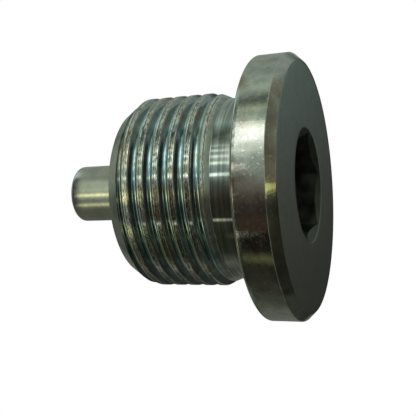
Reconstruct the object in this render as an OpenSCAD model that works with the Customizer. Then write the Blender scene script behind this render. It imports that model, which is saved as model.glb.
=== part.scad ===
// Magnetic drain plug: a collared screw plug turned from bar, with a pipe thread, a hexagon socket
// in its head and a round magnet pressed into its end.
// The axis is Z. The head's outer face lies on z = 0 and the magnet points up.

/* [Head] */
// Diameter over the collar
head_d = 22.3; // [20:0.1:26]
// Thickness of the collar
head_t = 3.3; // [2.5:0.1:5]
// Chamfer round the outer face, the same along and across
head_chamfer = 0.65; // [0.2:0.05:1]
// Small break on the collar's edge beside the sealing face
seal_edge_break = 0.2; // [0.05:0.05:0.4]

/* [Shank] */
// Length from the sealing face to the end face
shank_l = 11.7; // [11:0.1:20]
// Diameter of the plain neck under the collar
neck_d = 15.5; // [13.6:0.1:15.8]
// Length of the plain neck
neck_l = 2.75; // [1.5:0.05:3.2]
// Slope of the neck's end against the axis, up to the thread
neck_end_angle = 25; // [20:5:60]
// Fillet where the neck meets the sealing face
neck_fillet = 0.3; // [0.1:0.05:0.6]
// Length of the chamfer at the free end
end_chamfer_l = 1.5; // [0.8:0.1:2.5]
// Diameter of the end face inside its chamfer
end_face_d = 14.6; // [12:0.1:15.5]

/* [Thread] */
// Diameter over the crests, for a 3/8 inch parallel pipe thread
thread_d = 16.66; // [16.2:0.02:18]
// Distance from crest to crest, 19 to the inch
thread_pitch = 1.337; // [1.2:0.001:1.5]
// Angle between the two flanks
thread_flank_angle = 55; // [50:1:58]
// Angle round the axis where a crest leaves the end face
thread_start_angle = 166; // [0:1:359]
// Length of the groove's run-out, in turns
thread_runout_turns = 0.5; // [0.25:0.05:1]

/* [Socket] */
// Width across the flats of the hexagon key
key_af = 8; // [6:0.5:9]
// Gap all round between the key and the socket's flats
key_clearance = 0.02; // [0:0.01:0.1]
// Depth of the flats from the head's outer face
socket_depth = 7.5; // [5:0.1:8]
// Diameter of the pilot hole drilled before the flats are broached
pilot_d = 7.7; // [5.4:0.1:7.8]
// Depth of the pilot hole below the flats
pilot_relief = 0.3; // [0.1:0.1:0.6]
// Point angle of the pilot drill
drill_point_angle = 118; // [110:1:140]
// Diameter of the countersink at the socket's mouth
socket_mouth_d = 9.65; // [9.4:0.05:10.8]
// Included angle of that countersink
socket_mouth_angle = 130; // [90:1:140]
// Turn of the hexagon's corners round the axis
socket_angle = 50; // [0:1:59]

/* [Magnet] */
// Diameter of the magnet and of the bore that holds it
magnet_d = 5.1; // [4:0.1:6]
// Full length of the magnet
magnet_l = 10; // [8:0.1:12]
// Depth of its bore in the end face
magnet_bore_depth = 3.5; // [2:0.1:4]
// Radius of the magnet's free edge
magnet_edge_r = 0.45; // [0.1:0.05:1]
// Chamfer on the magnet's pressed-in edge
magnet_lead = 0.3; // [0.1:0.05:0.6]

/* [Hidden] */
$fn = 96;

// Overlap that lets a cut run clear of the face it opens
cut_over = 0.5;
// Straight steps in a small rounded edge, over a quarter turn
arc_steps = 6;
// Rings to a full turn of the thread's groove
groove_steps = 48;
// Share of the pitch left flat at the root, in place of the rounding
root_flat_share = 0.17;
// Height of the groove's mouth over the crests, as a share of the pitch
groove_over_share = 1 / 12;
// Depth of the thread as a share of its pitch, with the crests left broad and flat
depth_share = 0.42;

head_r = head_d / 2;
neck_r = neck_d / 2;
thread_r = thread_d / 2;
end_face_r = end_face_d / 2;
magnet_r = magnet_d / 2;

body_l = head_t + shank_l;
neck_end_z = head_t + neck_l;
thread_depth = depth_share * thread_pitch;
root_r = thread_r - thread_depth;
groove_over = groove_over_share * thread_pitch;

// The socket's corner radius, from its width across the flats
socket_af = key_af + 2 * key_clearance;
socket_corner_r = socket_af / 2 / cos(30);
pilot_r = pilot_d / 2;
pilot_end_z = socket_depth + pilot_relief;
pilot_tip_l = pilot_r / tan(drill_point_angle / 2);
mouth_r = socket_mouth_d / 2;
mouth_slope = tan(socket_mouth_angle / 2);

magnet_seat_z = body_l - magnet_bore_depth;

// Points of a quarter arc about [cx, cy], from angle a0 and sweeping by turn degrees
function arc(cx, cy, r, a0, turn) =
    [for (i = [0 : arc_steps]) let (a = a0 + turn * i / arc_steps) [cx + r * cos(a), cy + r * sin(a)]];

// Half section of the turned blank: radius first, height second
function blank_outline() = concat(
    [
        [0, 0],
        [head_r - head_chamfer, 0],
        [head_r, head_chamfer],
        [head_r, head_t - seal_edge_break],
        [head_r - seal_edge_break, head_t]
    ],
    arc(neck_r + neck_fillet, head_t + neck_fillet, neck_fillet, 270, -90),
    [
        [neck_r, neck_end_z],
        [thread_r, neck_end_z + (thread_r - neck_r) / tan(neck_end_angle)],
        [thread_r, body_l - end_chamfer_l],
        [end_face_r, body_l],
        [0, body_l]
    ]
);

// One ring of the groove: four corners of its section, at an angle round the axis and a root radius
function groove_ring(a, z, root) =
    let (
        outer = thread_r + groove_over,
        half_root = thread_pitch * root_flat_share / 2,
        half_outer = half_root + (outer - root) * tan(thread_flank_angle / 2),
        section = [[root, -half_root], [outer, -half_outer], [outer, half_outer], [root, half_root]]
    )
    [for (p = section) [p[0] * cos(a), p[0] * sin(a), z + p[1]]];

// The thread's groove: one closed helical bar, from clear of the end face down to its run-out
module thread_groove() {
    // Turns from clear above the end face to the start of the neck's cone
    turns = (body_l + thread_pitch - neck_end_z) / thread_pitch;
    rings = ceil(turns * groove_steps);
    runout_rings = thread_runout_turns * groove_steps;
    top_z = body_l + thread_pitch;
    points = [for (i = [0 : rings])
        let (
            turn = i / groove_steps,
            lift = max(0, 1 - (rings - i) / runout_rings)
        )
        each groove_ring(
            thread_start_angle + 180 - 360 * turn,
            top_z - thread_pitch * turn,
            root_r + lift * (thread_depth + groove_over / 2)
        )
    ];
    walls = [for (i = [0 : rings - 1], k = [0 : 3])
        let (a = 4 * i + k, b = 4 * i + (k + 1) % 4)
        each [[a, b + 4, b], [a, a + 4, b + 4]]
    ];
    last = 4 * rings;
    ends = [[0, 1, 2, 3], [last + 3, last + 2, last + 1, last]];
    polyhedron(points = points, faces = concat(walls, ends), convexity = 20);
}

// The key's socket: broached flats, the pilot drill's cone below them and a countersunk mouth
module socket_cut() {
    rotate([0, 0, socket_angle])
        translate([0, 0, -cut_over])
            cylinder(h = socket_depth + cut_over, r = socket_corner_r, $fn = 6);
    cylinder(h = pilot_end_z, r = pilot_r);
    translate([0, 0, pilot_end_z])
        cylinder(h = pilot_tip_l, r1 = pilot_r, r2 = 0);
    translate([0, 0, -cut_over])
        cylinder(h = mouth_r / mouth_slope + cut_over, r1 = mouth_r + cut_over * mouth_slope, r2 = 0);
}

// Blind bore that the magnet is pressed into
module magnet_bore() {
    translate([0, 0, magnet_seat_z])
        cylinder(h = magnet_bore_depth + cut_over, r = magnet_r);
}

// Head, neck and threaded shank, turned in one piece
module plug_body() {
    color("#6f7a70")
    difference() {
        rotate_extrude()
            polygon(blank_outline());
        thread_groove();
        socket_cut();
        magnet_bore();
    }
}

// Round magnet, seated on the floor of its bore and standing proud of the end face
module magnet_pin() {
    color("#8b8f88")
    translate([0, 0, magnet_seat_z])
        rotate_extrude()
            polygon(concat(
                [[0, 0], [magnet_r - magnet_lead, 0], [magnet_r, magnet_lead]],
                arc(magnet_r - magnet_edge_r, magnet_l - magnet_edge_r, magnet_edge_r, 0, 90),
                [[0, magnet_l]]
            ));
}

plug_body();
magnet_pin();
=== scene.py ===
"""Magnetic drain plug: its detailed pieces, finishes, stage and camera."""

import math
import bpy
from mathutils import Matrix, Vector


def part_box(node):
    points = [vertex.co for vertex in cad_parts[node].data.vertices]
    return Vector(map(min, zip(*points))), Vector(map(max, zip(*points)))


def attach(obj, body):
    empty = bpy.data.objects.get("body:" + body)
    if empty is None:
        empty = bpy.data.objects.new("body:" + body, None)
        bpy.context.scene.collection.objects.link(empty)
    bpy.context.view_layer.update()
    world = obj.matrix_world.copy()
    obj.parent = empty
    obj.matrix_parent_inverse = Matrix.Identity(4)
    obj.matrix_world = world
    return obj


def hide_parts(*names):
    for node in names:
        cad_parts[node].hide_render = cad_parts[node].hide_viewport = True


bl_info = {
    "name": "Magnetic drain plug",
    "version": (1, 0, 0),
    "blender": (4, 5, 0),
    "location": "3D Viewport > Sidebar > Drain plug",
    "description": "Models a zinc-plated screw plug with its magnet, and the stage it is shown on",
    "category": "Add Mesh",
}

import bmesh
import bpy
from bpy.props import FloatProperty, FloatVectorProperty, IntProperty, PointerProperty
from bpy.types import Operator, Panel, PropertyGroup
from mathutils import Matrix, Vector

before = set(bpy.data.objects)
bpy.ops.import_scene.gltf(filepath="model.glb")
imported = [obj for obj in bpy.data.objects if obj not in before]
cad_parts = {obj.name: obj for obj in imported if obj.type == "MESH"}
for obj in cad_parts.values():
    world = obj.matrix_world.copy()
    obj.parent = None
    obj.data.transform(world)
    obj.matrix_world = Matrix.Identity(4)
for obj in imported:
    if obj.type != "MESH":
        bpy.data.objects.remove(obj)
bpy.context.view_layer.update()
BODY_LOW, BODY_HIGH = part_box("plug_body")
MAGNET_LOW, MAGNET_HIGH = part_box("magnet_pin")

MM = 0.001
# The photograph is this many pixels wide and high, and Blender's sensor this many millimetres
PHOTO_PIXELS = 416
SENSOR_MM = 36.0
# Points nearer than this are one point
MERGE_MM = 0.0001
# Edges sharper than this stay crisp under smooth shading
SHARP_DEGREES = 32


def length(name, description, size_mm, low_mm=0.01, high_mm=100.0):
    """A size in metres for a property group, given in millimetres."""
    return FloatProperty(
        name=name,
        description=description,
        default=size_mm * MM,
        min=low_mm * MM,
        max=high_mm * MM,
        precision=5,
        subtype="DISTANCE",
        unit="LENGTH",
    )


def turn(name, description, degrees):
    """An angle for a property group, given in degrees."""
    return FloatProperty(
        name=name,
        description=description,
        default=math.radians(degrees),
        subtype="ANGLE",
    )


def plain(name, description, default):
    """A plain number for a property group."""
    return FloatProperty(name=name, description=description, default=default)


def count(name, description, default, low):
    """A whole number for a property group, with the least that it may be."""
    return IntProperty(name=name, description=description, default=default, min=low)


def tint(name, description, hex_colour):
    """A colour for a property group, given as an sRGB hex value."""
    return FloatVectorProperty(
        name=name,
        description=description,
        default=linear(hex_colour)[:3],
        size=3,
        subtype="COLOR",
        min=0,
        max=1,
    )


def linear(hex_colour):
    """Linear RGBA of an sRGB hex value."""
    channels = [int(hex_colour[i : i + 2], 16) / 255 for i in (1, 3, 5)]
    return [c / 12.92 if c <= 0.04045 else ((c + 0.055) / 1.055) ** 2.4 for c in channels] + [1.0]


class PlugSizes(PropertyGroup):
    """Sizes of the turned plug that the render shows."""

    head_d: length("Collar diameter", "Diameter over the collar", (BODY_HIGH[0] - BODY_LOW[0]) / MM)
    head_t: length("Collar thickness", "Thickness of the collar", 3.3)
    head_chamfer: length("Face chamfer", "Chamfer round the head's outer face", 0.65)
    seal_break: length("Edge break", "Small chamfer beside the sealing face", 0.12)
    edge_round: length("Worn edge", "Radius worn onto each chamfer's corners", 0.07)
    body_l: length("Body length", "Height of the end face", BODY_HIGH[2] / MM)
    neck_d: length("Neck diameter", "Diameter of the plain neck under the collar", 15.5)
    neck_l: length("Neck length", "Length of the plain neck", 2.75)
    neck_end_angle: turn("Neck end", "Slope of the neck's end against the axis", 25)
    neck_fillet: length("Neck fillet", "Fillet between the neck and the sealing face", 0.3)
    end_chamfer_l: length("End chamfer", "Length of the chamfer at the free end", 1.5)
    end_face_d: length("End face", "Diameter of the end face inside its chamfer", 14.6)
    thread_d: length("Thread diameter", "Diameter over the crests", 16.66)
    pitch: length("Pitch", "Distance from crest to crest", 1.337)
    flank_angle: turn("Flank angle", "Angle between the two flanks", 55)
    start_angle: turn("Thread start", "Angle round the axis where a crest leaves the end face", 166)
    root_flat: plain("Root flat", "Share of the pitch left flat at the root", 0.17)
    depth_share: plain("Depth share", "Depth of the thread as a share of its pitch", 0.42)
    thread_round: length("Thread rounding", "Height over which the thread's corners are rounded", 0.09)
    runout_turns: plain("Run-out", "Length of the groove's run-out in turns", 0.5)
    socket_af: length("Socket width", "Width across the socket's flats", 8.04)
    socket_depth: length("Socket depth", "Depth of the flats from the outer face", 7.5)
    socket_angle: turn("Socket turn", "Turn of the hexagon's corners round the axis", 50)
    mouth_d: length("Socket mouth", "Diameter of the countersink at the mouth", 9.65)
    mouth_angle: turn("Mouth angle", "Included angle of the countersink", 130)
    pilot_d: length("Pilot hole", "Diameter of the drilled hole under the flats", 7.7)
    pilot_relief: length("Pilot relief", "Depth of the pilot hole below the flats", 0.3)
    drill_angle: turn("Drill point", "Point angle of the pilot drill", 118)
    steps: count("Steps", "Steps in one turn round the axis", 240, 48)
    thread_rows: count("Thread rows", "Rows of faces over one pitch", 30, 8)


class MagnetSizes(PropertyGroup):
    """Sizes of the magnet rod."""

    diameter: length("Diameter", "Diameter of the rod", (MAGNET_HIGH[0] - MAGNET_LOW[0]) / MM)
    edge_round: length("Free edge", "Radius of the rod's free edge", 0.45)
    lead: length("Lead", "Chamfer on the pressed-in edge", 0.3)
    steps: count("Steps", "Steps in one turn round the axis", 96, 24)


class StageSettings(PropertyGroup):
    """Camera, floor and light."""

    yaw: turn("View turn", "Turn of the screw axis away from the picture's plane", 23.329)
    roll: turn("View roll", "Tilt of the screw axis in the picture", 4.044)
    head_at: FloatVectorProperty(
        name="Head centre",
        description="Centre of the head's face in the camera's frame: right, down, ahead",
        default=(12.413 * MM, 3.721 * MM, 62.408 * MM),
        size=3,
        subtype="TRANSLATION",
        unit="LENGTH",
    )
    focal_px: plain("Focal length", "Focal length in picture pixels", 748.66)
    centre_px: FloatVectorProperty(
        name="Optical centre",
        description="Where the lens axis meets the picture, in pixels",
        default=(160, 140),
        size=2,
    )
    floor_colour: tint("Floor", "Colour of the floor", "#F2F2F0")
    floor_gap: length("Floor gap", "Gap between the floor and the head", 0.02, 0.001)
    floor_r: length("Floor radius", "Radius of the floor", 500, high_mm=2000)
    dome_r: length("Dome radius", "Radius of the reflected surroundings", 700, high_mm=2000)


# Mesh helpers


def new_object(name, bm, materials):
    """An object at the origin from a bmesh, with the given materials."""
    mesh = bpy.data.meshes.new(name)
    bm.to_mesh(mesh)
    bm.free()
    for material in materials:
        mesh.materials.append(material)
    made = bpy.data.objects.new(name, mesh)
    bpy.context.scene.collection.objects.link(made)
    return made


def shade(made):
    """Smooth shading, with the sharp edges kept crisp."""
    made.data.shade_smooth()
    made.data.set_sharp_from_angle(angle=math.radians(SHARP_DEGREES))


def arc(centre, radius, start, sweep, steps):
    """Points of an arc in the half plane of radius and height, angles in degrees."""
    angles = [math.radians(start + sweep * i / steps) for i in range(steps + 1)]
    return [(centre[0] + radius * math.cos(a), centre[1] + radius * math.sin(a)) for a in angles]


def straight(start, end, steps):
    """Points along a straight stretch, without its first point."""
    return [
        tuple(start[k] + (end[k] - start[k]) * i / steps for k in (0, 1))
        for i in range(1, steps + 1)
    ]


def worn_corner(before, corner, after, radius, steps=3):
    """Points that round a corner of an outline with an arc-like curve of the given reach."""
    corner_v = Vector(corner)
    start = corner_v + (Vector(before) - corner_v).normalized() * radius
    end = corner_v + (Vector(after) - corner_v).normalized() * radius
    shares = [i / steps for i in range(steps + 1)]
    return [tuple(start * (1 - t) ** 2 + corner_v * 2 * t * (1 - t) + end * t**2) for t in shares]


def open_ring(bm, height):
    """The edges of an open boundary that lies at a height."""
    return [
        e for e in bm.edges
        if e.is_boundary and all(abs(v.co.z - height) < MERGE_MM * MM for v in e.verts)
    ]


def extrude_ring(bm, edges, place, slot):
    """Extrude a ring of edges, and put each new vertex at place(angle), a radius and a height."""
    made = bmesh.ops.extrude_edge_only(bm, edges=edges)["geom"]
    verts = {g for g in made if isinstance(g, bmesh.types.BMVert)}
    for vert in verts:
        angle = math.atan2(vert.co.y, vert.co.x)
        radius, height = place(angle)
        vert.co = Vector((radius * math.cos(angle), radius * math.sin(angle), height))
    for face in {f for v in verts for f in v.link_faces}:
        face.material_index = slot
    return [g for g in made if isinstance(g, bmesh.types.BMEdge) and verts.issuperset(g.verts)]


def extrude_outline(bm, edges, points, slot):
    """Extrude a ring of edges along an outline of radius and height points."""
    for point in points:
        edges = extrude_ring(bm, edges, lambda angle, at=point: at, slot)
    return edges


def close_shell(bm, name):
    """Merge what meets, point every face outwards, and make sure that no gap is left."""
    bmesh.ops.remove_doubles(bm, verts=bm.verts, dist=MERGE_MM * MM)
    bmesh.ops.dissolve_degenerate(bm, edges=bm.edges, dist=MERGE_MM * MM / 10)
    bmesh.ops.recalc_face_normals(bm, faces=bm.faces)
    if any(not e.is_manifold for e in bm.edges):
        raise RuntimeError(f"the {name}'s shell is not closed")


# The turned plug

BODY_SLOTS = ("thread", "neck", "seal_face", "rim", "head_face", "socket", "end_face")
# Share of the neck's length at which the threaded shank ends and the head's own faces start
NECK_CUT = 0.6
# Rows of faces down the socket's flats, as shares of their depth
SOCKET_ROWS = (0.02, 0.35, 0.7, 1.0)


def eased(value, reach):
    """A value held at 0 or more, with its start rounded over a reach to both sides."""
    return value if value > reach else max(value + reach, 0) ** 2 / (4 * reach)


def thread_form(sizes, share):
    """Radius of the pipe thread at a share of the pitch, where 0 and 1 are crests."""
    depth = sizes.depth_share * sizes.pitch
    off_root = sizes.pitch * (abs(share - 0.5) - sizes.root_flat / 2)
    rise = eased(off_root / math.tan(sizes.flank_angle / 2), sizes.thread_round)
    return sizes.thread_d / 2 - eased(depth - rise, sizes.thread_round)


def blank_radius(sizes, z):
    """Radius of the turned blank over the neck and the shank, before the thread is cut."""
    neck_r, crest_r, end_r = sizes.neck_d / 2, sizes.thread_d / 2, sizes.end_face_d / 2
    cone_z = sizes.head_t + sizes.neck_l
    chamfer_z = sizes.body_l - sizes.end_chamfer_l
    if z < cone_z:
        return neck_r
    if z > chamfer_z:
        return crest_r - (crest_r - end_r) * (z - chamfer_z) / sizes.end_chamfer_l
    return min(crest_r, neck_r + (z - cone_z) * math.tan(sizes.neck_end_angle))


def shank_radius(sizes, z, angle):
    """Radius of the threaded shank at a height and an angle round the axis."""
    turns = (z - sizes.body_l) / sizes.pitch - (angle - sizes.start_angle) / math.tau
    share = turns % 1
    groove_z = z - (share - 0.5) * sizes.pitch
    runout_z = sizes.head_t + sizes.neck_l + sizes.runout_turns * sizes.pitch
    lift = min(max((runout_z - groove_z) / (sizes.runout_turns * sizes.pitch), 0), 1)
    depth = sizes.depth_share * sizes.pitch
    return min(blank_radius(sizes, z), thread_form(sizes, share) + lift * depth)


def add_shank(bm, sizes, neck_cut_z):
    """The neck and the thread: one pitch of the thread's outline, spun along its helix."""
    turns = math.ceil((sizes.body_l - neck_cut_z) / sizes.pitch) + 3
    start_z = sizes.body_l - sizes.pitch * (turns - 1)
    row_l = sizes.pitch / sizes.thread_rows
    rows = [
        bm.verts.new((sizes.thread_d / 2, 0, start_z + row_l * i))
        for i in range(sizes.thread_rows + 1)
    ]
    line = [bm.edges.new(pair) for pair in zip(rows, rows[1:])]
    # The outline starts where a crest crosses its height, so that rows follow the crests
    offset = sizes.start_angle % math.tau
    bmesh.ops.rotate(bm, verts=rows, cent=(0, 0, 0), matrix=Matrix.Rotation(offset, 3, "Z"))
    bmesh.ops.spin(
        bm, geom=rows + line, cent=(0, 0, 0), axis=(0, 0, 1), dvec=(0, 0, sizes.pitch / sizes.steps),
        angle=math.tau, steps=sizes.steps,
    )
    one_turn = bm.verts[:] + bm.edges[:] + bm.faces[:]
    for i in range(1, turns):
        copy = bmesh.ops.duplicate(bm, geom=one_turn)["geom"]
        verts = [g for g in copy if isinstance(g, bmesh.types.BMVert)]
        bmesh.ops.translate(bm, verts=verts, vec=(0, 0, i * sizes.pitch))
    bmesh.ops.remove_doubles(bm, verts=bm.verts, dist=MERGE_MM * MM)
    for vert in bm.verts:
        angle = math.atan2(vert.co.y, vert.co.x)
        radius = shank_radius(sizes, vert.co.z, angle)
        vert.co = Vector((radius * math.cos(angle), radius * math.sin(angle), vert.co.z))
    for height, outward in ((neck_cut_z, -1), (sizes.body_l, 1)):
        bmesh.ops.bisect_plane(
            bm, geom=bm.verts[:] + bm.edges[:] + bm.faces[:], dist=MERGE_MM * MM / 10,
            plane_co=(0, 0, height), plane_no=(0, 0, outward), clear_outer=True,
        )
    neck_end_z = sizes.head_t + sizes.neck_l
    for face in bm.faces:
        if face.calc_center_median().z < neck_end_z:
            face.material_index = BODY_SLOTS.index("neck")


def add_head(bm, sizes, neck_cut_z):
    """The neck's foot, the sealing face, the rim and the outer face, down to the socket's mouth."""
    head_r, neck_r, mouth_r = sizes.head_d / 2, sizes.neck_d / 2, sizes.mouth_d / 2
    fillet, wear = sizes.neck_fillet, sizes.edge_round
    seal_corner = (head_r - sizes.seal_break, sizes.head_t)
    rim_top = (head_r, sizes.head_t - sizes.seal_break)
    rim_low = (head_r, sizes.head_chamfer)
    face_edge = (head_r - sizes.head_chamfer, 0)
    mouth = (mouth_r, 0)
    foot = arc((neck_r + fillet, sizes.head_t + fillet), fillet, 180, 90, 5)
    edges = open_ring(bm, neck_cut_z)
    neck = straight((neck_r, neck_cut_z), foot[0], 3) + foot[1:]
    edges = extrude_outline(bm, edges, neck, BODY_SLOTS.index("neck"))
    seal_end = worn_corner(foot[-1], seal_corner, rim_top, wear / 2)
    seal_face = straight(foot[-1], seal_end[0], 6)
    edges = extrude_outline(bm, edges, seal_face, BODY_SLOTS.index("seal_face"))
    rim = (
        seal_end[1:]
        + worn_corner(seal_corner, rim_top, rim_low, wear)
        + straight(rim_top, rim_low, 8)[:-1]
        + worn_corner(rim_top, rim_low, face_edge, wear)
        + worn_corner(rim_low, face_edge, mouth, wear)
    )
    edges = extrude_outline(bm, edges, rim, BODY_SLOTS.index("rim"))
    # A point further in, which gives the countersink's direction
    in_mouth = (mouth_r - 1 * MM, 1 * MM / math.tan(sizes.mouth_angle / 2))
    mouth_turn = worn_corner(rim[-1], mouth, in_mouth, wear)
    face = straight(rim[-1], mouth_turn[0], 12) + mouth_turn[1:]
    return extrude_outline(bm, edges, face, BODY_SLOTS.index("head_face"))


def add_socket(bm, sizes, edges):
    """The countersink, the six flats, the drilled pilot hole and its cone."""
    slot = BODY_SLOTS.index("socket")
    flat_r = sizes.socket_af / 2
    pilot_r = sizes.pilot_d / 2
    sixth = math.tau / 6

    def hexagon(angle):
        return flat_r / math.cos((angle - sizes.socket_angle) % sixth - sixth / 2)

    def countersink(angle):
        radius = hexagon(angle)
        return radius, (sizes.mouth_d / 2 - radius) / math.tan(sizes.mouth_angle / 2)

    edges = extrude_ring(bm, edges, countersink, slot)
    for share in SOCKET_ROWS:
        def wall(angle, share=share):
            radius, mouth_z = countersink(angle)
            return radius, mouth_z + (sizes.socket_depth - mouth_z) * share
        edges = extrude_ring(bm, edges, wall, slot)
    tip_z = sizes.socket_depth + sizes.pilot_relief + pilot_r / math.tan(sizes.drill_angle / 2)
    bottom = [
        (pilot_r, sizes.socket_depth),
        (pilot_r, sizes.socket_depth + sizes.pilot_relief),
        (0, tip_z),
    ]
    extrude_outline(bm, edges, bottom, slot)


def add_end(bm, sizes, magnet_r, seat_z):
    """The end face and the blind bore that holds the magnet."""
    slot = BODY_SLOTS.index("end_face")
    edges = open_ring(bm, sizes.body_l)
    outline = straight((sizes.end_face_d / 2, sizes.body_l), (magnet_r, sizes.body_l), 6)
    outline += [(magnet_r, seat_z), (0, seat_z)]
    extrude_outline(bm, edges, outline, slot)


class DRAINPLUG_OT_plug_body(Operator):
    """Model the turned plug and put it in place of its solid"""

    bl_idname = "drainplug.plug_body"
    bl_label = "Turned plug"

    def execute(self, context):
        sizes = context.scene.drainplug_plug
        bm = bmesh.new()
        neck_cut_z = sizes.head_t + NECK_CUT * sizes.neck_l
        add_shank(bm, sizes, neck_cut_z)
        edges = add_head(bm, sizes, neck_cut_z)
        add_socket(bm, sizes, edges)
        add_end(bm, sizes, context.scene.drainplug_magnet.diameter / 2, MAGNET_LOW[2])
        close_shell(bm, "plug")
        # In the order of BODY_SLOTS
        made = new_object("turned_plug", bm, [
            thread_finish(sizes),
            neck_finish(),
            face_finish("sealing_face_turned"),
            rim_finish(),
            head_finish(),
            socket_finish(),
            face_finish("end_face_turned"),
        ])
        shade(made)
        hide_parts("plug_body")
        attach(made, "root")
        return {"FINISHED"}


class DRAINPLUG_OT_magnet(Operator):
    """Model the magnet rod and put it in place of its solid"""

    bl_idname = "drainplug.magnet"
    bl_label = "Magnet rod"

    def execute(self, context):
        sizes = context.scene.drainplug_magnet
        radius, low, high = sizes.diameter / 2, MAGNET_LOW[2], MAGNET_HIGH[2]
        bm = bmesh.new()
        outline = [(0, low), (radius - sizes.lead, low), (radius, low + sizes.lead)]
        outline += straight(outline[-1], (radius, high - sizes.edge_round), 12)[:-1]
        outline += arc((radius - sizes.edge_round, high - sizes.edge_round), sizes.edge_round, 0, 90, 8)
        outline += straight(outline[-1], (0, high), 5)
        verts = [bm.verts.new((r, 0, z)) for r, z in outline]
        line = [bm.edges.new(pair) for pair in zip(verts, verts[1:])]
        bmesh.ops.spin(
            bm, geom=verts + line, cent=(0, 0, 0), axis=(0, 0, 1),
            angle=math.tau, steps=sizes.steps, use_merge=True,
        )
        close_shell(bm, "magnet")
        made = new_object("magnet_rod", bm, [magnet_finish()])
        shade(made)
        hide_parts("magnet_pin")
        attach(made, "root")
        return {"FINISHED"}


# Finishes


def per_mm(size_mm):
    """Texture scale, in metres, whose features are about this many millimetres across."""
    return 1 / (size_mm * MM)


def add(tree, kind, inputs=None, **settings):
    """Add a node with its settings, and give its inputs values or links."""
    node = tree.nodes.new(kind)
    for name, value in settings.items():
        setattr(node, name, value)
    for socket, value in (inputs or {}).items():
        if isinstance(value, bpy.types.NodeSocket):
            tree.links.new(value, node.inputs[socket])
        else:
            node.inputs[socket].default_value = value
    return node


def maths(tree, operation, *values):
    """Output of a Math node."""
    return add(tree, "ShaderNodeMath", dict(enumerate(values)), operation=operation).outputs[0]


def ramp(tree, factor, stops):
    """Colour output of a ramp with stops of a place and an sRGB hex colour."""
    node = add(tree, "ShaderNodeValToRGB", {"Fac": factor})
    elements = node.color_ramp.elements
    while len(elements) < len(stops):
        elements.new(0.5)
    for element, (place, colour) in zip(elements, stops):
        element.position = place
        element.color = linear(colour)
    return node.outputs["Color"]


def span(tree, value, low, high, to_low=0.0, to_high=1.0):
    """A value moved from one range to another, and held at its ends."""
    return add(tree, "ShaderNodeMapRange", {
        "Value": value, "From Min": low, "From Max": high, "To Min": to_low, "To Max": to_high,
    }).outputs["Result"]


def mix(tree, factor, first, second, blend="MIX"):
    """Colour output of a Mix node."""
    node = add(tree, "ShaderNodeMix", data_type="RGBA", blend_type=blend)
    for socket, value in ((0, factor), (6, first), (7, second)):
        if isinstance(value, bpy.types.NodeSocket):
            tree.links.new(value, node.inputs[socket])
        else:
            node.inputs[socket].default_value = value
    return node.outputs[2]


def new_metal(name):
    """A material with a bare metal shader, and its node tree and shader."""
    material = bpy.data.materials.new(name)
    material.use_nodes = True
    tree = material.node_tree
    tree.nodes.clear()
    shader = add(tree, "ShaderNodeBsdfPrincipled", {"Metallic": 1.0})
    add(tree, "ShaderNodeOutputMaterial", {"Surface": shader.outputs[0]})
    return material, tree, shader


def coordinates(tree):
    """Object coordinates, which are metres in the part's own frame."""
    return add(tree, "ShaderNodeTexCoord").outputs["Object"]


def place(tree):
    """Object coordinates as x, y, z and the distance from the axis."""
    x, y, z = add(tree, "ShaderNodeSeparateXYZ", {0: coordinates(tree)}).outputs
    squares = maths(tree, "ADD", maths(tree, "MULTIPLY", x, x), maths(tree, "MULTIPLY", y, y))
    return x, y, z, maths(tree, "SQRT", squares)


def noise(tree, vector, size_mm, detail=2.0, rough=0.5):
    """Noise whose features are about this many millimetres across."""
    return add(tree, "ShaderNodeTexNoise", {
        "Vector": vector, "Scale": per_mm(size_mm), "Detail": detail, "Roughness": rough,
    }).outputs["Fac"]


def lathe_lines(tree, line_mm, streak_mm, detail=2.0):
    """Fine lines round the axis, which break up over a streak's length, from turning.

    A real tool leaves them about 0.05 mm apart, too fine to show, so they are drawn coarser.
    """
    x, y, z, radius = place(tree)
    across = add(tree, "ShaderNodeCombineXYZ", {
        0: maths(tree, "MULTIPLY", radius, per_mm(line_mm)),
        1: maths(tree, "MULTIPLY", z, per_mm(line_mm)),
        2: maths(tree, "MULTIPLY", x, per_mm(streak_mm)),
    }).outputs[0]
    return add(tree, "ShaderNodeTexNoise", {
        "Vector": across,
        "W": maths(tree, "MULTIPLY", y, per_mm(streak_mm)),
        "Scale": 1.0,
        "Detail": detail,
    }, noise_dimensions="4D").outputs["Fac"]


def bump(tree, height, height_mm, normal=None):
    """Normal output of a bump whose full height is given in millimetres."""
    inputs = {"Height": height, "Distance": height_mm * MM, "Strength": 1.0}
    if normal is not None:
        inputs["Normal"] = normal
    return add(tree, "ShaderNodeBump", inputs).outputs[0]


def link(tree, shader, **outputs):
    """Link outputs to the shader's sockets, where an underscore stands for a space."""
    for name, output in outputs.items():
        tree.links.new(output, shader.inputs[name.replace("_", " ")])


def face_finish(name):
    """Zinc plate on a faced surface: fine rings from the tool and a faint bloom."""
    material, tree, shader = new_metal(name)
    vector = coordinates(tree)
    stain = noise(tree, vector, 2.5, 3)
    link(
        tree, shader,
        Base_Color=ramp(tree, stain, [(0.3, "#A3ADA6"), (0.55, "#B4BBB2"), (0.75, "#A8A597")]),
        Roughness=span(tree, noise(tree, vector, 0.4, 3), 0.3, 0.7, 0.24, 0.4),
        Normal=bump(tree, lathe_lines(tree, 0.12, 6), 0.006),
    )
    return material


def head_finish():
    """Zinc plate on the head's face: dulled by handling, with faint rings and stains."""
    material, tree, shader = new_metal("head_face_plated")
    vector = coordinates(tree)
    stain = noise(tree, vector, 3.0, 3)
    link(
        tree, shader,
        Base_Color=ramp(tree, stain, [(0.3, "#9CA6A2"), (0.55, "#A9B0AA"), (0.75, "#A39F93")]),
        Roughness=span(tree, noise(tree, vector, 0.4, 3), 0.3, 0.7, 0.17, 0.27),
        Normal=bump(tree, lathe_lines(tree, 0.12, 6), 0.003),
    )
    return material


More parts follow.
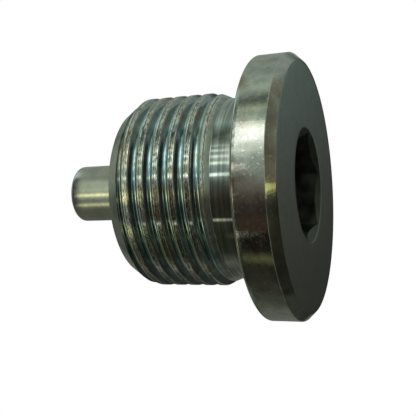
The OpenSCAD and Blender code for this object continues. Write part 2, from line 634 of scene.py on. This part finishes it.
def rim_finish():
    """Zinc plate on the collar's rim: glossy, with small bright pits, and browned by oil in places."""
    material, tree, shader = new_metal("rim_plated")
    vector = coordinates(tree)
    stain = noise(tree, vector, 2.2, 4)
    pits = noise(tree, vector, 0.25, 4, 0.6)
    plate = ramp(tree, stain, [(0.3, "#A0A59A"), (0.5, "#CACDC3"), (0.7, "#A89A8A")])
    link(
        tree, shader,
        Base_Color=mix(tree, span(tree, pits, 0.6, 0.68), plate, linear("#E4E2D8")),
        Roughness=span(tree, pits, 0.3, 0.7, 0.06, 0.16),
        Normal=bump(tree, pits, 0.004, bump(tree, lathe_lines(tree, 0.1, 5), 0.0006)),
    )
    return material


def neck_finish():
    """Zinc plate on the relief neck: bright, with the coarse lines of the grooving tool."""
    material, tree, shader = new_metal("neck_turned")
    vector = coordinates(tree)
    stain = noise(tree, vector, 1.5, 3)
    plate = ramp(tree, stain, [(0.3, "#BAC0BA"), (0.6, "#D0D4CC"), (0.75, "#BCB6A4")])
    lines = lathe_lines(tree, 0.17, 6)
    grooved = ramp(tree, lines, [(0.4, "#C8CBC6"), (0.6, "#FFFFFF")])
    link(
        tree, shader,
        Base_Color=mix(tree, 1.0, plate, grooved, "MULTIPLY"),
        Roughness=span(tree, noise(tree, vector, 0.3, 3), 0.3, 0.7, 0.05, 0.1),
        Normal=bump(tree, lines, 0.0008),
    )
    return material


# Painted light across one pitch of the thread, from crest to crest, towards the magnet
THREAD_PAINTED_LIGHT = [
    # The crest's half beside the collar: a dark band, then a painted highlight at its edge
    (0.0, "#DAD8CA"),
    (0.03, "#8E9084"),
    (0.07, "#8A8C82"),
    (0.1, "#D8DCD2"),
    (0.17, "#F4F6EC"),
    (0.2, "#C8CCC2"),
    # The flanks' painted shade, and the painted blue reflection of the root between them
    (0.22, "#A4ACA8"),
    (0.38, "#B4C4C4"),
    (0.44, "#C0DAD8"),
    (0.57, "#C0DAD8"),
    (0.62, "#B4BEC0"),
    (0.79, "#B4BEC0"),
    # The next crest's other half, with a yellower painted highlight
    (0.81, "#B8B4A4"),
    (0.84, "#D6D4C6"),
    (0.88, "#E6E4D8"),
    (0.92, "#B4B2A6"),
    (0.96, "#DAD8CA"),
    (1.0, "#DAD8CA"),
]


def thread_place(tree, sizes):
    """Place across one pitch of the thread: 0 at the root and half a pitch at the crests."""
    x, y, z, _ = place(tree)
    angle = maths(tree, "DIVIDE", maths(tree, "ARCTAN2", y, x), math.tau)
    turns = maths(tree, "SUBTRACT", maths(tree, "DIVIDE", z, sizes.pitch), angle)
    offset = sizes.start_angle / math.tau - sizes.body_l / sizes.pitch
    share = maths(tree, "FRACT", maths(tree, "ADD", turns, offset % 1))
    return maths(tree, "SUBTRACT", share, 0.5)


def thread_finish(sizes):
    """Zinc plate on the thread: speckled crests with painted highlights, greyer flanks with painted
    shade and a painted blue reflection at the roots.
    """
    material, tree, shader = new_metal("thread_plated")
    vector = coordinates(tree)
    _, _, z, _ = place(tree)
    across = thread_place(tree, sizes)
    # The painted bands follow the crests, and waver a little along them
    waver = span(tree, noise(tree, vector, 0.5, 2), 0.0, 1.0, 0.48, 0.52)
    painted_pitch_light = ramp(tree, maths(tree, "ADD", across, waver), THREAD_PAINTED_LIGHT)
    # The neck's cone and the end's chamfer have no groove of their own
    cone_z = sizes.head_t + sizes.neck_l
    chamfer_z = sizes.body_l - sizes.end_chamfer_l
    grooved = maths(
        tree, "MULTIPLY",
        span(tree, z, cone_z + 0.2 * MM, cone_z + 0.6 * MM),
        span(tree, z, chamfer_z + 0.3 * MM, chamfer_z),
    )
    # The painted highlights, shade and reflection of each pitch, on the grooved length only
    plate = mix(tree, grooved, linear("#A2A8A0"), painted_pitch_light)
    off_root = maths(tree, "ABSOLUTE", across)
    crest = maths(tree, "MULTIPLY", span(tree, off_root, 0.29, 0.32), grooved)
    stain = noise(tree, vector, 1.8, 3)
    bloom = ramp(tree, stain, [(0.32, "#CCD8D8"), (0.5, "#FFFFFF"), (0.7, "#E6DAC4")])
    # Specks drawn out along the turns, where the die has torn the plate's crests
    specks = lathe_lines(tree, 0.08, 0.35, 1)
    bright = maths(tree, "MULTIPLY", crest, span(tree, specks, 0.58, 0.66))
    plate = mix(tree, bright, plate, linear("#FFFFF6"))
    dull = maths(tree, "MULTIPLY", crest, span(tree, specks, 0.42, 0.34))
    plate = mix(tree, dull, plate, linear("#6E6E66"))
    pits = noise(tree, vector, 0.18, 3, 0.6)
    turned = bump(tree, lathe_lines(tree, 0.07, 6), 0.0005)
    link(
        tree, shader,
        Base_Color=mix(tree, 1.0, plate, bloom, "MULTIPLY"),
        Roughness=span(tree, pits, 0.35, 0.65, 0.07, 0.16),
        Normal=bump(tree, maths(tree, "MULTIPLY", specks, crest), 0.0004, turned),
    )
    return material


def socket_finish():
    """Broached steel in the socket, in a darker grey than the plate."""
    material, tree, shader = new_metal("socket_darker_grey")
    shader.inputs["Metallic"].default_value = 0.96
    vector = coordinates(tree)
    stain = noise(tree, vector, 1.2, 3)
    link(
        tree, shader,
        Base_Color=ramp(tree, stain, [(0.3, "#4A4F4B"), (0.7, "#6B6E66")]),
        Roughness=span(tree, stain, 0.3, 0.7, 0.3, 0.5),
    )
    return material


def magnet_finish():
    """Plated magnet rod: ground smooth along its side, with small dents and a yellowish stain."""
    material, tree, shader = new_metal("magnet_ground")
    vector = coordinates(tree)
    stain = noise(tree, vector, 1.8, 3)
    link(
        tree, shader,
        Base_Color=ramp(tree, stain, [(0.3, "#B4B6AC"), (0.6, "#C6C8BC"), (0.75, "#B8B4A0")]),
        Roughness=span(tree, noise(tree, vector, 0.3, 3), 0.3, 0.7, 0.1, 0.18),
        Normal=bump(tree, noise(tree, vector, 0.3, 3), 0.0015),
    )
    return material


# Stage


def view_axes(stage):
    """The part's x, y and z axes as seen by the camera: right, down, ahead."""
    along = Vector((
        -math.cos(stage.yaw) * math.cos(stage.roll),
        math.cos(stage.yaw) * math.sin(stage.roll),
        math.sin(stage.yaw),
    ))
    near = along.cross(Vector((0, 1, 0))).normalized()
    return near, along.cross(near), along


def add_camera(scene):
    """The photograph's view: from beside and below the head, with the screw axis nearly level."""
    stage = scene.drainplug_stage
    axes = view_axes(stage)
    head = Vector(stage.head_at)
    camera = bpy.data.cameras.new("photo_camera")
    camera.sensor_width = SENSOR_MM
    camera.lens = stage.focal_px / PHOTO_PIXELS * SENSOR_MM
    camera.shift_x = (PHOTO_PIXELS / 2 - stage.centre_px[0]) / PHOTO_PIXELS
    camera.shift_y = (stage.centre_px[1] - PHOTO_PIXELS / 2) / PHOTO_PIXELS
    camera.clip_start = 1 * MM
    camera.clip_end = 10
    made = bpy.data.objects.new("photo_camera", camera)
    rotation = Matrix([(axis.x, -axis.y, -axis.z) for axis in axes]).to_4x4()
    position = Vector([-axis.dot(head) for axis in axes])
    made.matrix_world = Matrix.Translation(position) @ rotation
    scene.collection.objects.link(made)
    scene.camera = made


# Radius of the floor's hole as a share of the head's flat face, which hides it
FLOOR_HOLE = 0.985
# Strength of the world's plain light on the part, where 1 is white
GREY_LIGHT = 0.55
# Each lamp's name, place and width in millimetres, and watts
LAMPS = [
    ("key_lamp", (180, 120, 220), 160, 1.2),
    ("fill_lamp", (-160, -140, 180), 160, 0.4),
]


def floor_finish(stage):
    """A plain pale floor, which is clear from below."""
    material = bpy.data.materials.new("pale_floor")
    material.use_nodes = True
    tree = material.node_tree
    tree.nodes.clear()
    paint = add(tree, "ShaderNodeBsdfDiffuse", {"Color": [*stage.floor_colour, 1.0]})
    clear = add(tree, "ShaderNodeBsdfTransparent")
    below = add(tree, "ShaderNodeNewGeometry").outputs["Backfacing"]
    either = add(tree, "ShaderNodeMixShader", {0: below, 1: paint.outputs[0], 2: clear.outputs[0]})
    add(tree, "ShaderNodeOutputMaterial", {"Surface": either.outputs[0]})
    return material


def add_floor(scene):
    """A round floor that the head stands on, open under its flat face."""
    stage, plug = scene.drainplug_stage, scene.drainplug_plug
    hole_r = FLOOR_HOLE * (plug.head_d / 2 - plug.head_chamfer)
    bm = bmesh.new()
    made = bmesh.ops.create_circle(bm, cap_ends=False, segments=128, radius=hole_r)
    edges = list({e for v in made["verts"] for e in v.link_edges})
    outer = bmesh.ops.extrude_edge_only(bm, edges=edges)["geom"]
    verts = [g for g in outer if isinstance(g, bmesh.types.BMVert)]
    bmesh.ops.scale(bm, verts=verts, vec=Vector.Fill(3, stage.floor_r / hole_r))
    bmesh.ops.translate(bm, verts=bm.verts, vec=(0, 0, -stage.floor_gap))
    for face in bm.faces:
        face.normal_update()
        if face.normal.z < 0:
            face.normal_flip()
    floor = new_object("floor", bm, [floor_finish(stage)])
    floor.visible_glossy = False


# The room that the metal mirrors, in bands one above the other. Each band is a list of degrees round
# from the side that faces the photo's camera, with a colour that the room's glow multiplies.
ROOM_GLOW = 2.0
# Straight down, which the head's chamfer mirrors
UNDER = [
    (-180, "#1E1E1A"),
    (-68, "#1E1E19"),
    (-30, "#2E2C28"),
    (-8, "#3A382E"),
    (-3, "#B4B678"),
    (4, "#B4B678"),
    (9, "#4A463A"),
    (47, "#535046"),
    (114, "#5C5E54"),
    (180, "#5A5E54"),
]
# The bench below the level of the head, which the head's face mirrors
BENCH = [
    (-180, "#484C48"),
    (-176, "#3E403C"),
    (-170, "#33342F"),
    (-160, "#282A26"),
    (-90, "#2C2E2B"),
    (-10, "#3E403C"),
    (15, "#7E8880"),
    (60, "#7E8880"),
    (100, "#78807A"),
    (160, "#6A6F6A"),
    (172, "#596460"),
    (180, "#484C48"),
]
# The bench's edge, which the neck's cone mirrors
BENCH_EDGE = [
    (-180, "#1C1D1A"),
    (-150, "#1C1D1A"),
    (-120, "#3E423F"),
    (0, "#5A605C"),
    (60, "#78827E"),
    (140, "#78827E"),
    (165, "#1C1D1A"),
    (180, "#1C1D1A"),
]
# The lower walls, which the collar's rim mirrors
LOWER_WALLS = [
    (-180, "#50524C"),
    (-122, "#4A4C46"),
    (-100, "#30322D"),
    (-81, "#252520"),
    (-63, "#201F18"),
    (-58, "#4C4C34"),
    (-55, "#3A3A29"),
    (-51, "#1A1915"),
    (-46, "#100F0D"),
    (-37, "#100F0D"),
    (-31, "#2C221B"),
    (-20, "#2A231E"),
    (-9, "#34302C"),
    (-4, "#3C3631"),
    (1, "#504B46"),
    (6, "#5A5954"),
    (16, "#6E736E"),
    (27, "#8A928C"),
    (31, "#C2CBC2"),
    (36, "#DCE4DC"),
    (40, "#FFFFFF"),
    (50, "#FFFFFF"),
    (54, "#E4E8DE"),
    (59, "#98A297"),
    (65, "#737B73"),
    (70, "#969C88"),
    (74, "#5C625A"),
    (79, "#3E4440"),
    (84, "#626B66"),
    (92, "#838D84"),
    (110, "#707A73"),
    (180, "#606862"),
]
# The upper walls, with a thin lamp at the left, which the neck and the crests mirror
UPPER_WALLS = [
    (-180, "#3E4540"),
    (-144, "#282924"),
    (-118, "#32342F"),
    (-103, "#50554E"),
    (-85, "#282924"),
    (-76, "#1F231E"),
    (-54, "#1F221B"),
    (-46, "#2A2C25"),
    (-38.2, "#2A2B24"),
    (-36.7, "#A0A698"),
    (-35.7, "#A0A698"),
    (-34.2, "#22231D"),
    (-12, "#25231E"),
    (2, "#363732"),
    (10, "#444745"),
    (14, "#5C6664"),
    (17, "#758280"),
    (24, "#687676"),
    (38, "#7C8A84"),
    (46, "#727E78"),
    (59, "#707A72"),
    (71, "#3C4642"),
    (82, "#6D7974"),
    (91, "#86948F"),
    (104, "#737F7A"),
    (130, "#6C746E"),
    (180, "#6C746E"),
]
# The bright slats of the window in the upper walls
SLATS = [
    (19.5, "#F4FFF6"),
    (33.8, "#D8E4DA"),
    (42.2, "#CCD8D0"),
    (50.1, "#BAC6BE"),
    (56.4, "#98A49C"),
]
# The walls above them, with two yellow lamps, which the magnet mirrors
HIGH_WALLS = [
    (-180, "#4A4C44"),
    (-91, "#474941"),
    (-70, "#4A4C42"),
    (-60, "#5A5D52"),
    (-54, "#6E6F5E"),
    (-48, "#B4B890"),
    (-42, "#B0B48E"),
    (-36, "#6E726A"),
    (-27, "#666963"),
    (-18, "#7E857B"),
    (-11, "#A0A590"),
    (-7, "#F4F2C4"),
    (-1, "#F0F0C0"),
    (4, "#A0A691"),
    (16, "#9DA497"),
    (33, "#8E9889"),
    (50, "#909689"),
    (60, "#7E857A"),
    (68, "#727870"),
    (91, "#70756E"),
    (180, "#6C716B"),
]
# Over the window, which the thread's flanks mirror through the turn beside them
OVER_WINDOW = [
    (-180, "#5A5D58"),
    (-100, "#42443F"),
    (-20, "#2A2C2C"),
    (70, "#30343A"),
    (88, "#A4B4B8"),
    (115, "#94A2A4"),
    (135, "#626A66"),
    (180, "#5A625E"),
]
# Straight up, which the end's chamfer and the collar's small edge break mirror
CEILING = [
    (-180, "#767870"),
    (-150, "#5C5E57"),
    (-60, "#3A3C38"),
    (90, "#6A6E68"),
    (140, "#82857C"),
    (180, "#767870"),
]
# The heights between which each band takes over from the one below it, on a dome of radius 1
ROOM = [
    (-0.56, -0.5, BENCH),
    (-0.24, -0.17, BENCH_EDGE),
    (-0.04, 0.08, LOWER_WALLS),
    (0.305, 0.32, UPPER_WALLS),
    (0.438, 0.45, HIGH_WALLS),
    (0.52, 0.58, OVER_WINDOW),
    (0.8, 0.92, CEILING),
]


def add_dome(scene):
    """The surroundings that the metal mirrors: a dim room with a broad slatted window."""
    stage = scene.drainplug_stage
    material = bpy.data.materials.new("room_reflection")
    material.use_nodes = True
    tree = material.node_tree
    tree.nodes.clear()
    x, y, z, _ = place(tree)
    around = span(tree, maths(tree, "ARCTAN2", y, x), -math.pi, math.pi)
    height = maths(tree, "DIVIDE", z, stage.dome_r)

    def band(stops):
        return ramp(tree, around, [((degrees + 180) / 360, colour) for degrees, colour in stops])

    # Each slat is 2.4 degrees wide, and fades out over 1.6 to each side
    slats = band([
        (degrees + off, colour if abs(off) < 2 else "#000000")
        for degrees, colour in SLATS
        for off in (-2.8, -1.2, 1.2, 2.8)
    ])
    colour = band(UNDER)
    for low, high, stops in ROOM:
        walls = band(stops)
        if stops is UPPER_WALLS:
            walls = mix(tree, 1.0, walls, slats, "LIGHTEN")
        colour = mix(tree, span(tree, height, low, high), colour, walls)
    glow = add(tree, "ShaderNodeEmission", {"Color": colour, "Strength": ROOM_GLOW})
    add(tree, "ShaderNodeOutputMaterial", {"Surface": glow.outputs[0]})
    bm = bmesh.new()
    bmesh.ops.create_icosphere(bm, subdivisions=5, radius=stage.dome_r)
    dome = new_object("room", bm, [material])
    for ray in ("camera", "diffuse", "transmission", "volume_scatter", "shadow"):
        setattr(dome, "visible_" + ray, False)


def add_lamp(scene, name, place_mm, size_mm, watts):
    """A soft square lamp that faces the part."""
    lamp = bpy.data.lights.new(name, "AREA")
    lamp.size = size_mm * MM
    lamp.energy = watts
    made = bpy.data.objects.new(name, lamp)
    position = Vector(place_mm) * MM
    aim = position.to_track_quat("Z", "Y").to_matrix().to_4x4()
    made.matrix_world = Matrix.Translation(position) @ aim
    made.visible_glossy = False
    scene.collection.objects.link(made)


def add_world(scene):
    """White behind the part and in what it mirrors, and a plain grey light on it."""
    world = bpy.data.worlds.new("studio")
    world.use_nodes = True
    tree = world.node_tree
    tree.nodes.clear()
    path = add(tree, "ShaderNodeLightPath").outputs
    mirrored = maths(tree, "MAXIMUM", path["Is Glossy Ray"], path["Is Transmission Ray"])
    seen = maths(tree, "MAXIMUM", path["Is Camera Ray"], mirrored)
    strength = span(tree, seen, 0, 1, GREY_LIGHT, 1.0)
    back = add(tree, "ShaderNodeBackground", {"Color": (1, 1, 1, 1), "Strength": strength})
    add(tree, "ShaderNodeOutputWorld", {"Surface": back.outputs[0]})
    scene.world = world


class DRAINPLUG_OT_stage(Operator):
    """Set up the floor, the light and the photograph's camera"""

    bl_idname = "drainplug.stage"
    bl_label = "Stage"

    def execute(self, context):
        scene = context.scene
        scene.view_settings.view_transform = "Standard"
        add_world(scene)
        add_floor(scene)
        add_dome(scene)
        for lamp in LAMPS:
            add_lamp(scene, *lamp)
        add_camera(scene)
        return {"FINISHED"}


class DRAINPLUG_PT_panel(Panel):
    """The drain plug's sizes and steps"""

    bl_label = "Drain plug"
    bl_idname = "DRAINPLUG_PT_panel"
    bl_space_type = "VIEW_3D"
    bl_region_type = "UI"
    bl_category = "Drain plug"

    def draw(self, context):
        for operator, (holder, group) in zip(OPERATORS, GROUPS.items()):
            self.layout.operator(operator.bl_idname)
            for name in group.__annotations__:
                self.layout.prop(getattr(context.scene, holder), name)


# The panel lists each operator over the group in the same place
GROUPS = {
    "drainplug_plug": PlugSizes,
    "drainplug_magnet": MagnetSizes,
    "drainplug_stage": StageSettings,
}
OPERATORS = (DRAINPLUG_OT_plug_body, DRAINPLUG_OT_magnet, DRAINPLUG_OT_stage)
CLASSES = (*GROUPS.values(), *OPERATORS, DRAINPLUG_PT_panel)


def register():
    for cls in CLASSES:
        bpy.utils.register_class(cls)
    for name, group in GROUPS.items():
        setattr(bpy.types.Scene, name, PointerProperty(type=group))


def unregister():
    for name in GROUPS:
        delattr(bpy.types.Scene, name)
    for cls in reversed(CLASSES):
        bpy.utils.unregister_class(cls)


def main():
    register()
    bpy.ops.drainplug.plug_body()
    bpy.ops.drainplug.magnet()
    bpy.ops.drainplug.stage()


if __name__ == "__main__":
    main()
